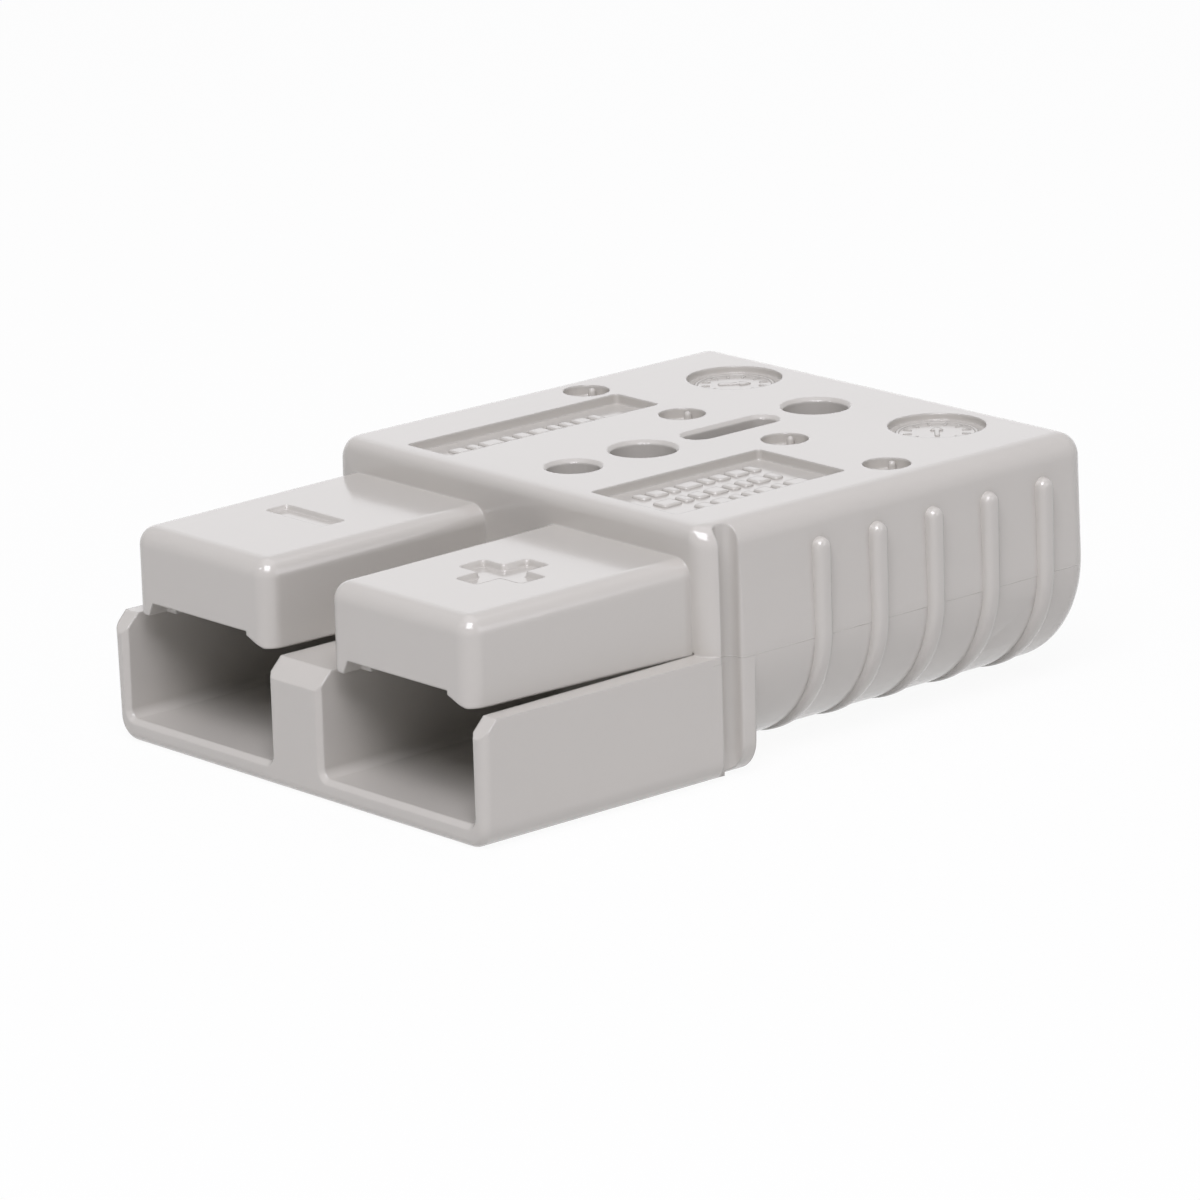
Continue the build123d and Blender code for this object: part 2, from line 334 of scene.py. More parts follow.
def cut_from(obj: bpy.types.Object, cutter: bpy.types.Object) -> None:
    """Cuts a closed shape out of a piece and removes the cutter.

    Args:
        obj: The piece.
        cutter: The closed shape.
    """
    boolean = obj.modifiers.new("cut", "BOOLEAN")
    boolean.operation = "DIFFERENCE"
    boolean.solver = "EXACT"
    boolean.object = cutter
    depsgraph = bpy.context.evaluated_depsgraph_get()
    mesh = bpy.data.meshes.new_from_object(obj.evaluated_get(depsgraph))
    obj.modifiers.remove(boolean)
    old, obj.data = obj.data, mesh
    bpy.data.meshes.remove(old)
    bpy.data.meshes.remove(cutter.data)


@dataclass(frozen=True)
class Nodes:
    """Short calls for the nodes of one material or node group."""

    tree: bpy.types.NodeTree

    def add(self, kind: str, **values: object) -> bpy.types.Node:
        """Adds a node, sets its attributes, and sets inputs given by a name that ends in _in.

        Args:
            kind: Blender's name of the node type.
            **values: Attributes, or inputs as name_in with spaces as underscores.

        Returns:
            The node.
        """
        node = self.tree.nodes.new(kind)
        for key, value in values.items():
            if key.endswith("_in"):
                node.inputs[key[:-3].replace("_", " ")].default_value = value
            else:
                setattr(node, key, value)
        return node

    def math(
        self, operation: str, first: object, second: object = 0.0, clamp: bool = False
    ) -> bpy.types.NodeSocket:
        """Adds a Math node.

        Args:
            operation: Blender's name of the operation.
            first: First operand, a number or an output.
            second: Second operand, a number or an output.
            clamp: True if the result is held between 0 and 1.

        Returns:
            The result's output.
        """
        node = self.add("ShaderNodeMath", operation=operation, use_clamp=clamp)
        for place, value in enumerate((first, second)):
            self.feed(value, node.inputs[place])
        return node.outputs[0]

    def feed(self, value: object, socket: bpy.types.NodeSocket) -> None:
        """Links an output to an input, or sets the input to a value.

        Args:
            value: An output, a number or a colour.
            socket: The input.
        """
        if isinstance(value, bpy.types.NodeSocket):
            self.tree.links.new(value, socket)
        else:
            socket.default_value = value


def new_group(
    name: str, inputs: dict[str, tuple[str, object]], outputs: dict[str, str]
) -> bpy.types.NodeTree:
    """Makes a shader node group with named inputs and outputs.

    Args:
        name: Name of the group.
        inputs: Socket type and first value of each input.
        outputs: Socket type of each output.

    Returns:
        The group, with its input and output nodes.
    """
    group = bpy.data.node_groups.new(name, "ShaderNodeTree")
    for label, (kind, value) in inputs.items():
        socket = group.interface.new_socket(name=label, in_out="INPUT", socket_type=kind)
        if value is not None:
            socket.default_value = value
    for label, kind in outputs.items():
        group.interface.new_socket(name=label, in_out="OUTPUT", socket_type=kind)
    group.nodes.new("NodeGroupInput")
    group.nodes.new("NodeGroupOutput")
    return group


def moulded_skin_group() -> bpy.types.NodeTree:
    """Builds the group for a moulded skin: slow waves, a fine grain and a faint mottle.

    Height = wave * wave height + grain * grain height. The colour is the base colour times
    1 + (mottle - 0.5) * variation, and the roughness is the base roughness + (grain - 0.5) * its spread.

    Returns:
        The group.
    """
    group = new_group(
        "moulded_skin",
        {
            "Vector": ("NodeSocketVector", None),
            "Color": ("NodeSocketColor", (0.6, 0.6, 0.6, 1.0)),
            "Variation": ("NodeSocketFloat", 0.05),
            "Roughness": ("NodeSocketFloat", 0.35),
            "Roughness Spread": ("NodeSocketFloat", 0.08),
            "Wave Height": ("NodeSocketFloat", 0.01 * MM),
            "Grain Height": ("NodeSocketFloat", 0.002 * MM),
        },
        {"Color": "NodeSocketColor", "Roughness": "NodeSocketFloat", "Height": "NodeSocketFloat"},
    )
    nodes = Nodes(group)
    given = group.nodes["Group Input"].outputs
    result = group.nodes["Group Output"].inputs
    wave = nodes.add("ShaderNodeTexNoise", Scale_in=140.0, Detail_in=1.0, Roughness_in=0.4)
    grain = nodes.add("ShaderNodeTexNoise", Scale_in=2600.0, Detail_in=2.0, Roughness_in=0.55)
    mottle = nodes.add("ShaderNodeTexNoise", Scale_in=55.0, Detail_in=3.0, Roughness_in=0.5)
    for node in (wave, grain, mottle):
        nodes.feed(given["Vector"], node.inputs["Vector"])
    centred = nodes.math("SUBTRACT", mottle.outputs["Fac"], 0.5)
    shift = nodes.math("ADD", nodes.math("MULTIPLY", centred, given["Variation"]), 1.0)
    tint = nodes.add("ShaderNodeVectorMath", operation="SCALE")
    nodes.feed(given["Color"], tint.inputs[0])
    nodes.feed(shift, tint.inputs["Scale"])
    nodes.feed(tint.outputs[0], result["Color"])
    off_middle = nodes.math("SUBTRACT", grain.outputs["Fac"], 0.5)
    spread = nodes.math("MULTIPLY", off_middle, given["Roughness Spread"])
    nodes.feed(nodes.math("ADD", given["Roughness"], spread), result["Roughness"])
    wave_height = nodes.math("MULTIPLY", wave.outputs["Fac"], given["Wave Height"])
    grain_height = nodes.math("MULTIPLY", grain.outputs["Fac"], given["Grain Height"])
    nodes.feed(nodes.math("ADD", wave_height, grain_height), result["Height"])
    return group


def parting_line_group() -> bpy.types.NodeTree:
    """Builds the group for the witness line where the mould's halves meet.

    Height = line height * max(0, 1 - |z - line z| / half width), broken by a slow noise so that it comes and
    goes. The line starts behind the hood and stops where the grip ribs stand proud of the side.

    Returns:
        The group.
    """
    group = new_group(
        "parting_line",
        {
            "Vector": ("NodeSocketVector", None),
            "Line Z": ("NodeSocketFloat", 12.05 * MM),
            "Half Width": ("NodeSocketFloat", 0.07 * MM),
            "Line Height": ("NodeSocketFloat", 0.05 * MM),
            "First Y": ("NodeSocketFloat", at_station(29.0 * MM)),
            "Last X": ("NodeSocketFloat", 28.06 * MM),
        },
        {"Height": "NodeSocketFloat", "Mask": "NodeSocketFloat"},
    )
    nodes = Nodes(group)
    given = group.nodes["Group Input"].outputs
    result = group.nodes["Group Output"].inputs
    split = nodes.add("ShaderNodeSeparateXYZ")
    nodes.feed(given["Vector"], split.inputs[0])
    away = nodes.math("ABSOLUTE", nodes.math("SUBTRACT", split.outputs["Z"], given["Line Z"]))
    ridge = nodes.math("SUBTRACT", 1.0, nodes.math("DIVIDE", away, given["Half Width"]), clamp=True)
    breaks = nodes.add("ShaderNodeTexNoise", Scale_in=320.0, Detail_in=2.0)
    nodes.feed(given["Vector"], breaks.inputs["Vector"])
    behind = nodes.math("GREATER_THAN", split.outputs["Y"], given["First Y"])
    within = nodes.math("LESS_THAN", nodes.math("ABSOLUTE", split.outputs["X"]), given["Last X"])
    placed = nodes.math("MULTIPLY", ridge, nodes.math("MULTIPLY", behind, within))
    mask = nodes.math("MULTIPLY", placed, nodes.math("ADD", breaks.outputs["Fac"], 0.3), clamp=True)
    nodes.feed(mask, result["Mask"])
    nodes.feed(nodes.math("MULTIPLY", mask, given["Line Height"]), result["Height"])
    return group


def drawn_metal_group() -> bpy.types.NodeTree:
    """Builds the group for drawn or rolled metal: long scratches along Y and a slow cloud of tarnish.

    The scratches are noise stretched along Y. They give the height, and with the cloud they roughen the
    surface: base roughness + (scratches - 0.5) * 0.25 + cloud * 0.12. The cloud is noise, cut off below and
    steepened.

    Returns:
        The group.
    """
    group = new_group(
        "drawn_metal",
        {
            "Vector": ("NodeSocketVector", None),
            "Color": ("NodeSocketColor", (0.8, 0.8, 0.8, 1.0)),
            "Tarnish": ("NodeSocketColor", (0.5, 0.45, 0.4, 1.0)),
            "Tarnish Amount": ("NodeSocketFloat", 0.3),
            "Roughness": ("NodeSocketFloat", 0.3),
            "Scratch Height": ("NodeSocketFloat", 0.004 * MM),
        },
        {"Color": "NodeSocketColor", "Roughness": "NodeSocketFloat", "Height": "NodeSocketFloat"},
    )
    nodes = Nodes(group)
    given = group.nodes["Group Input"].outputs
    result = group.nodes["Group Output"].inputs
    stretch = nodes.add("ShaderNodeMapping", Scale_in=(3200.0, 90.0, 3200.0))
    nodes.feed(given["Vector"], stretch.inputs["Vector"])
    scratches = nodes.add("ShaderNodeTexNoise", Scale_in=1.0, Detail_in=3.0, Roughness_in=0.6)
    nodes.feed(stretch.outputs[0], scratches.inputs["Vector"])
    cloud = nodes.add("ShaderNodeTexNoise", Scale_in=170.0, Detail_in=4.0, Roughness_in=0.6)
    nodes.feed(given["Vector"], cloud.inputs["Vector"])
    thick = nodes.math("SUBTRACT", cloud.outputs["Fac"], 0.42, clamp=True)
    share = nodes.math("MULTIPLY", thick, 4.0, clamp=True)
    mix = nodes.add("ShaderNodeMix", data_type="RGBA")
    nodes.feed(nodes.math("MULTIPLY", share, given["Tarnish Amount"]), mix.inputs["Factor"])
    nodes.feed(given["Color"], mix.inputs[6])
    nodes.feed(given["Tarnish"], mix.inputs[7])
    nodes.feed(mix.outputs[2], result["Color"])
    scratched = nodes.math("MULTIPLY", nodes.math("SUBTRACT", scratches.outputs["Fac"], 0.5), 0.25)
    clouded = nodes.math("MULTIPLY", share, 0.12)
    roughened = nodes.math("ADD", nodes.math("ADD", given["Roughness"], scratched), clouded)
    nodes.feed(roughened, result["Roughness"])
    nodes.feed(nodes.math("MULTIPLY", scratches.outputs["Fac"], given["Scratch Height"]), result["Height"])
    return group


@dataclass(frozen=True)
class MouldedPlastic:
    """Semi-gloss moulded plastic, with the witness line of its mould and softened edges."""

    name: str = "warm_grey_polycarbonate"
    color: tuple[float, float, float, float] = (0.503, 0.483, 0.449, 1.0)
    roughness: float = 0.13
    roughness_spread: float = 0.05
    variation: float = 0.035
    wave_height: float = 0.012 * MM
    grain_height: float = 0.0016 * MM
    edge_radius: float = 0.32 * MM
    ior: float = 1.585

    def build(self) -> bpy.types.Material:
        """Builds the material.

        Returns:
            The material.
        """
        material, nodes, vector, shader = start_material(self.name)
        skin = nodes.add("ShaderNodeGroup", node_tree=bpy.data.node_groups["moulded_skin"])
        line = nodes.add("ShaderNodeGroup", node_tree=bpy.data.node_groups["parting_line"])
        for key, value in {
            "Vector": vector,
            "Color": self.color,
            "Variation": self.variation,
            "Roughness": self.roughness,
            "Roughness Spread": self.roughness_spread,
            "Wave Height": self.wave_height,
            "Grain Height": self.grain_height,
        }.items():
            nodes.feed(value, skin.inputs[key])
        nodes.feed(vector, line.inputs["Vector"])
        nodes.feed(skin.outputs["Color"], shader.inputs["Base Color"])
        nodes.feed(skin.outputs["Roughness"], shader.inputs["Roughness"])
        shader.inputs["IOR"].default_value = self.ior
        edges = nodes.add("ShaderNodeBevel", samples=6, Radius_in=self.edge_radius)
        bump = nodes.add("ShaderNodeBump", Strength_in=1.0, Distance_in=1.0)
        nodes.feed(edges.outputs[0], bump.inputs["Normal"])
        nodes.feed(nodes.math("ADD", skin.outputs["Height"], line.outputs["Height"]), bump.inputs["Height"])
        nodes.feed(bump.outputs[0], shader.inputs["Normal"])
        return material


@dataclass(frozen=True)
class DrawnMetal:
    """Plated or rolled metal with long scratches and a little tarnish."""

    name: str
    color: tuple[float, float, float, float]
    tarnish: tuple[float, float, float, float]
    tarnish_amount: float
    roughness: float
    scratch_height: float

    def build(self) -> bpy.types.Material:
        """Builds the material.

        Returns:
            The material.
        """
        material, nodes, vector, shader = start_material(self.name)
        skin = nodes.add("ShaderNodeGroup", node_tree=bpy.data.node_groups["drawn_metal"])
        for key, value in {
            "Vector": vector,
            "Color": self.color,
            "Tarnish": self.tarnish,
            "Tarnish Amount": self.tarnish_amount,
            "Roughness": self.roughness,
            "Scratch Height": self.scratch_height,
        }.items():
            nodes.feed(value, skin.inputs[key])
        shader.inputs["Metallic"].default_value = 1.0
        nodes.feed(skin.outputs["Color"], shader.inputs["Base Color"])
        nodes.feed(skin.outputs["Roughness"], shader.inputs["Roughness"])
        bump = nodes.add("ShaderNodeBump", Strength_in=1.0, Distance_in=1.0)
        nodes.feed(skin.outputs["Height"], bump.inputs["Height"])
        nodes.feed(bump.outputs[0], shader.inputs["Normal"])
        return material


def start_material(name: str) -> tuple[bpy.types.Material, Nodes, bpy.types.NodeSocket, bpy.types.Node]:
    """Starts a material with a Principled shader and object coordinates.

    Args:
        name: Name of the material.

    Returns:
        The material, its node helper, the coordinate output and the shader.
    """
    material = bpy.data.materials.new(name)
    material.use_nodes = True
    nodes = Nodes(material.node_tree)
    shader = material.node_tree.nodes["Principled BSDF"]
    vector = nodes.add("ShaderNodeTexCoord").outputs["Object"]
    return material, nodes, vector, shader


@dataclass(frozen=True)
class Finishes:
    """The materials of the connector."""

    housing: bpy.types.Material
    contact: bpy.types.Material
    spring: bpy.types.Material


def place_piece(obj: bpy.types.Object, material: bpy.types.Material) -> None:
    """Gives a piece its material and slot, and lets it ride with the body.

    Args:
        obj: The piece.
        material: Its finish.
    """
    obj.data.materials.clear()
    obj.data.materials.append(material)
    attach(obj, "root")
    LOG.info("%s: %d faces", obj.name, len(obj.data.polygons))


@dataclass
class BodySide:
    """The rear body's side: a wall drafted both ways from the parting plane, and a round lower corner."""

    half_width: float = 28.0 * MM
    draft: float = math.radians(1.5)
    corner_radius: float = 12.3 * MM
    corner_z: float = 12.7 * MM

    @property
    def corner_x(self) -> float:
        """Returns X of the round corner's centre."""
        return self.wall(np.array(self.corner_z)).item() - self.corner_radius / math.cos(self.draft)

    def wall(self, z: np.ndarray) -> np.ndarray:
        """Returns X of the drafted wall: half width - |z - parting z| * tan(draft)."""
        return self.half_width - np.abs(z - PARTING_Z) * math.tan(self.draft)

    def settle(self, points: np.ndarray, front: float, rear: float) -> np.ndarray:
        """Moves what stands proud of the side back on to it, between two stations.

        Above the corner a point moves to x = wall(z). Round the corner it moves along the line from the
        corner's centre to corner radius away from it.

        Args:
            points: Points as rows of x, y and z.
            front: First station.
            rear: Last station.

        Returns:
            The moved points.
        """
        moved = points.copy()
        side, x, z = np.sign(points[:, 0]), np.abs(points[:, 0]), points[:, 2]
        station = points[:, 1] - MATING_END_Y
        here = (station > front) & (station < rear)
        turn_z = self.corner_z - self.corner_radius * math.sin(self.draft)
        high = here & (z >= turn_z) & (x > self.wall(z) + MERGE_DISTANCE)
        moved[high, 0] = (side * self.wall(z))[high]
        arm = np.stack((x - self.corner_x, z - self.corner_z), axis=1)
        reach = np.linalg.norm(arm, axis=1)
        low = here & (z < turn_z) & (x > self.corner_x) & (reach > self.corner_radius + MERGE_DISTANCE)
        scale = self.corner_radius / np.maximum(reach, MERGE_DISTANCE)
        moved[low, 0] = (side * (self.corner_x + arm[:, 0] * scale))[low]
        moved[low, 2] = (self.corner_z + arm[:, 1] * scale)[low]
        return moved


@dataclass
class BlockEdge:
    """The front block's top front edge, drawn tighter along its middle and eased at the corners."""

    radius: float = 2.4 * MM
    front_station: float = 28.5 * MM
    corner_x: float = 25.33 * MM
    power: float = 0.5
    reach: float = 0.02

    def tighten(self, points: np.ndarray) -> np.ndarray:
        """Moves the points of the round towards the corner that its two faces would make.

        With u forwards, v sideways and w upwards from the round's centre in radii, and r = sqrt(u^2 + w^2),
        a point moves to u = r * (u / r)^p and w = r * (w / r)^p, where p = 1 - (1 - power) * (1 - v)^2. So p
        is the power along the edge and 1 where the corner meets the side.

        Args:
            points: Points as rows of x, y and z.

        Returns:
            The moved points.
        """
        moved = points.copy()
        centre_station = self.front_station + self.radius
        u = (centre_station - (points[:, 1] - MATING_END_Y)) / self.radius
        v = np.clip((np.abs(points[:, 0]) - self.corner_x) / self.radius, 0.0, 1.0)
        w = (points[:, 2] - (TOP_Z - self.radius)) / self.radius
        spread = np.hypot(u, w)
        here = (u > 0.0) & (w > 0.0) & (np.abs(np.hypot(spread, v) - 1.0) < self.reach)
        power = 1.0 - (1.0 - self.power) * (1.0 - v[here]) ** 2
        spread = spread[here]
        moved[here, 1] = at_station(centre_station - spread * (u[here] / spread) ** power * self.radius)
        moved[here, 2] = TOP_Z - self.radius + spread * (w[here] / spread) ** power * self.radius
        return moved


@dataclass(frozen=True)
class PolarityMark:
    """A sign sunk into a boss top: its outline, where its middle lies and how deep it is."""

    corners: np.ndarray
    x: float
    station: float
    depth: float


@dataclass(frozen=True)
class PadRow:
    """A row of pads: X of its middle, the stations it lies between and the number of its first length."""

    x: float
    first: float
    last: float
    start: int


@dataclass
class Housing:
    """The moulded housing, its grip ribs, marks and moulding details.

    The scene's ribs take the place of the part's own, so the side is cleared between the first and the last
    rib and rib_clearing beyond them. A profile or a set of levels is given as heights, each with its radius
    or offset, and the dials' headings are in radians.
    """

    node: bpy.types.Object
    material: bpy.types.Material
    side: BodySide = field(default_factory=BodySide)
    block_edge: BlockEdge = field(default_factory=BlockEdge)
    boss_top_root_z: float = 22.15 * MM
    boss_root_station: float = 29.5 * MM
    boss_draft: float = math.radians(0.5)
    rib_stations: tuple[float, ...] = tuple((43.3 + 7.55 * index) * MM for index in range(5))
    rib_half_width: float = 1.06 * MM
    rib_depth: float = 1.5 * MM
    rib_clearing: float = 2.48 * MM
    rib_fullness: float = 2.9
    rib_crown_x: float = 28.8 * MM
    rib_turn_radius: float = 12.2 * MM
    rib_top_z: float = 22.0 * MM
    rib_section_points: int = 25
    rib_dome_rings: int = 9
    rib_wall_rings: int = 4
    rib_turn_rings: int = 22
    minus: PolarityMark = PolarityMark(
        box_corners(9.0 * MM, 2.8 * MM), Pole.NEGATIVE.x - 0.25 * MM, 14.6 * MM, 0.45 * MM
    )
    plus: PolarityMark = PolarityMark(cross_corners(9.0 * MM, 3.1 * MM), Pole.POSITIVE.x, 14.1 * MM, 0.6 * MM)
    mark_corner_radius: float = 0.4 * MM
    mark_draft: float = 0.14 * MM
    mark_lip: float = 0.07 * MM
    mark_rise: float = 0.33 * MM
    mark_flare: float = 0.35 * MM
    pocket_offsets: tuple[float, ...] = (-22.2 * MM, -7.6 * MM, 7.6 * MM, 22.2 * MM)
    pip_station: float = 59.35 * MM
    pip_offset: float = -1.0 * MM
    pip_profile: tuple[tuple[float, float], ...] = (
        (24.2 * MM, 0.42 * MM),
        (24.7 * MM, 0.38 * MM),
        (25.0 * MM, 0.34 * MM),
        (25.15 * MM, 0.24 * MM),
        (25.2 * MM, 0.08 * MM),
    )
    pip_points: int = 20
    recess_depth: float = 1.05 * MM
    pad_rows: tuple[PadRow, ...] = (
        PadRow(11.4 * MM, 34.6 * MM, 51.6 * MM, 0),
        PadRow(14.9 * MM, 34.2 * MM, 51.4 * MM, 3),
        PadRow(18.4 * MM, 36.4 * MM, 50.4 * MM, 5),
        PadRow(-15.6 * MM, 34.2 * MM, 56.0 * MM, 1),
    )
    pad_lengths: tuple[float, ...] = tuple(length * MM for length in (1.1, 1.7, 1.1, 2.3, 1.1, 1.5, 1.9, 1.1))
    pad_gap: float = 0.55 * MM
    pad_width: float = 1.9 * MM
    pad_corner_radius: float = 0.3 * MM
    pad_levels: tuple[tuple[float, float], ...] = ((0.0, 0.08 * MM), (0.2 * MM, 0.0), (0.3 * MM, -0.14 * MM))
    dial_station: float = 71.6 * MM
    dial_depth: float = 0.75 * MM
    dial_headings: tuple[tuple[Pole, float], ...] = ((Pole.NEGATIVE, 0.9), (Pole.POSITIVE, 2.4))
    dial_ring_radii: tuple[float, ...] = (4.25 * MM, 4.1 * MM, 3.85 * MM, 3.7 * MM)
    dial_ring_height: float = 0.14 * MM
    dial_ring_points: int = 72
    tick_count: int = 12
    tick_radius: float = 3.05 * MM
    tick_size: tuple[float, float] = (0.9 * MM, 0.28 * MM)
    tick_corner_radius: float = 0.06 * MM
    tick_levels: tuple[tuple[float, float], ...] = ((0.0, 0.05 * MM), (0.14 * MM, -0.04 * MM))
    arrow_corner_radius: float = 0.12 * MM
    arrow_levels: tuple[tuple[float, float], ...] = ((0.0, 0.06 * MM), (0.2 * MM, -0.06 * MM))

    def build(self) -> None:
        """Builds every piece of the housing."""
        shell = merged_copy(self.node, "housing_shell")
        points = np.empty(len(shell.data.vertices) * 3)
        shell.data.vertices.foreach_get("co", points)
        front = self.rib_stations[0] - self.rib_clearing
        rear = self.rib_stations[-1] + self.rib_clearing
        points = self.block_edge.tighten(self.side.settle(points.reshape(-1, 3), front, rear))
        shell.data.vertices.foreach_set("co", points.ravel())
        settle_mesh(shell, recalculate=False)
        cut_from(shell, self.polarity_cutter())
        settle_mesh(shell, recalculate=False)
        shade(shell, 30.0)
        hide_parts(self.node.name)
        place_piece(shell, self.material)
        for piece, sharp_degrees in (
            (self.ribs(), 50.0),
            (self.gate_pips(), 50.0),
            (self.recess_pads(), 35.0),
            (self.date_dials(), 35.0),
        ):
            shade(piece, sharp_degrees)
            place_piece(piece, self.material)

    def boss_top(self, station: float) -> float:
        """Returns the height of a boss's top at a station: it falls towards the tip by the draft."""
        return self.boss_top_root_z - (self.boss_root_station - station) * math.tan(self.boss_draft)

    def polarity_cutter(self) -> bpy.types.Object:
        """Makes the shape that cuts the bar and the cross into the boss tops.

        Each is a rounded outline, a little smaller at its floor and flared where it leaves the surface.

        Returns:
            The cutter.
        """
        shells = Shells()
        for mark in (self.minus, self.plus):
            top = self.boss_top(mark.station)
            levels = (
                (top - mark.depth, -self.mark_draft),
                (top - self.mark_lip, 0.0),
                (top + self.mark_rise, self.mark_flare),
            )
            place = Vector((mark.x, at_station(mark.station), 0.0))
            shells.add_block(mark.corners, self.mark_corner_radius, levels, place)
        return shells.to_object("polarity_cutter")

    def ribs(self) -> bpy.types.Object:
        """Makes the rounded grip ribs on both sides.

        The section is half of a superellipse. With t from -90 to 90 degrees, it is w * sign(t) *
        |sin t|^(2 / n) across, and d * (1 - |cos t|^(2 / n)) below the crown. It is carried down the wall and
        round the lower corner. At the top it is turned about the rib's end, so that the rib closes in a dome.

        Returns:
            The ribs as one piece.
        """
        t = np.linspace(-1.0, 1.0, self.rib_section_points) * np.pi / 2
        power = 2.0 / self.rib_fullness
        across = self.rib_half_width * np.sign(t) * np.abs(np.sin(t)) ** power
        below = self.rib_depth * (1.0 - np.abs(np.cos(t)) ** power)
        end_z = self.rib_top_z - self.rib_half_width
        tilt = np.linspace(np.pi / 2, 0.0, self.rib_dome_rings)
        angle = np.linspace(0.0, np.pi / 2, self.rib_turn_rings)
        straight = np.linspace(end_z, PARTING_Z, self.rib_wall_rings + 2)[1:-1]
        turn_x = self.rib_crown_x - self.rib_turn_radius * (1.0 - np.cos(angle))
        turn_z = PARTING_Z - self.rib_turn_radius * np.sin(angle)
        crown_x = np.concatenate((np.full(tilt.size + straight.size, self.rib_crown_x), turn_x))
        crown_z = np.concatenate((np.full(tilt.size, end_z), straight, turn_z))
        still = np.zeros(straight.size)
        out_x = np.concatenate((np.ones(tilt.size), 1.0 + still, np.cos(angle)))
        out_z = np.concatenate((np.zeros(tilt.size), still, -np.sin(angle)))
        lean = np.concatenate((tilt, still, np.zeros(angle.size)))
        x = crown_x[:, None] - below * out_x[:, None]
        y = across * np.cos(lean)[:, None]
        z = crown_z[:, None] - below * out_z[:, None] + np.abs(across) * np.sin(lean)[:, None]
        shells = Shells()
        for side in (-1, 1):
            for station in self.rib_stations:
                shells.add(np.stack((side * x, y + at_station(station), z), axis=-1), first_cap=False)
        return shells.to_object("grip_ribs")

    def gate_pips(self) -> bpy.types.Object:
        """Makes the broken-off stub in each gate pocket: rings that narrow upwards to a blunt tip.

        Returns:
            The stubs as one piece.
        """
        shells = Shells()
        rings = [ring_points(radius, self.pip_points) for height, radius in self.pip_profile]
        heights = [height for height, radius in self.pip_profile]
        for offset in self.pocket_offsets:
            place = Vector((offset + self.pip_offset, at_station(self.pip_station), 0.0))
            shells.add_stack(rings, heights, place)
        return shells.to_object("gate_pips")

    def recess_pads(self) -> bpy.types.Object:
        """Makes the rows of low raised pads in the two recesses.

        A pad is a rounded rectangle that narrows towards its top. The lengths in a row repeat a short series.

        Returns:
            The pads as one piece.
        """
        shells = Shells()
        for row in self.pad_rows:
            station, index = row.first, row.start
            while station + self.pad_lengths[index % len(self.pad_lengths)] < row.last + MERGE_DISTANCE:
                length = self.pad_lengths[index % len(self.pad_lengths)]
                corners = box_corners(self.pad_width, length)
                place = Vector((row.x, at_station(station + length / 2), TOP_Z - self.recess_depth))
                shells.add_block(corners, self.pad_corner_radius, self.pad_levels, place, steps=4)
                station += length + self.pad_gap
                index += 1
        return shells.to_object("recess_pads")

    def date_dials(self) -> bpy.types.Object:
        """Makes the mould's date dials: a raised ring, twelve ticks and an arrow on each disc.

        The ring joins circles of rising and falling height, and the last is joined to the first. Ticks and
        arrow are rounded outlines that narrow towards their tops.

        Returns:
            The dials as one piece.
        """
        shells = Shells()
        tick, arrow = box_corners(*self.tick_size), arrow_corners()
        for pole, heading in self.dial_headings:
            place = Vector((pole.x, at_station(self.dial_station), TOP_Z - self.dial_depth))
            self.add_dial_ring(shells, place)
            for number in range(self.tick_count):
                angle = number * 2 * np.pi / self.tick_count
                spot = place + Vector((math.cos(angle), math.sin(angle), 0.0)) * self.tick_radius
                shells.add_block(tick, self.tick_corner_radius, self.tick_levels, spot, angle, steps=3)
            shells.add_block(arrow, self.arrow_corner_radius, self.arrow_levels, place, heading, steps=3)
        return shells.to_object("date_dials")

    def add_dial_ring(self, shells: Shells, place: Vector) -> None:
        """Adds a dial's raised ring: circles from its outer foot over its top to its inner foot.

        Args:
            shells: Where the ring goes.
            place: Middle of the dial, on its disc.
        """
        flat = np.stack([ring_points(radius, self.dial_ring_points) for radius in self.dial_ring_radii])
        heights = np.array([0.0, self.dial_ring_height, self.dial_ring_height, 0.0])
        z = np.broadcast_to(heights[:, None] + place.z, flat.shape[:2])
        ring = np.stack((flat[..., 0] + place.x, flat[..., 1] + place.y, z), axis=-1)
        shells.add(np.concatenate((ring, ring[:1])), first_cap=False, last_cap=False)


@dataclass
class MetalPart:
    """A contact or a spring: the frame's own shape, merged and shaded."""

    node: bpy.types.Object
    material: bpy.types.Material
    slot: Slot

    def build(self) -> None:
        """Builds the piece."""
        piece = merged_copy(self.node, f"{self.node.name}_metal")
        shade(piece, 30.0)
        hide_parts(self.node.name)
        place_piece(piece, self.material)


@dataclass(frozen=True)
class SoftLamp:
    """A square lamp that faces the object: its name, place, side and power in watts."""

    name: str
    place: tuple[float, float, float]
    size: float
    power: float


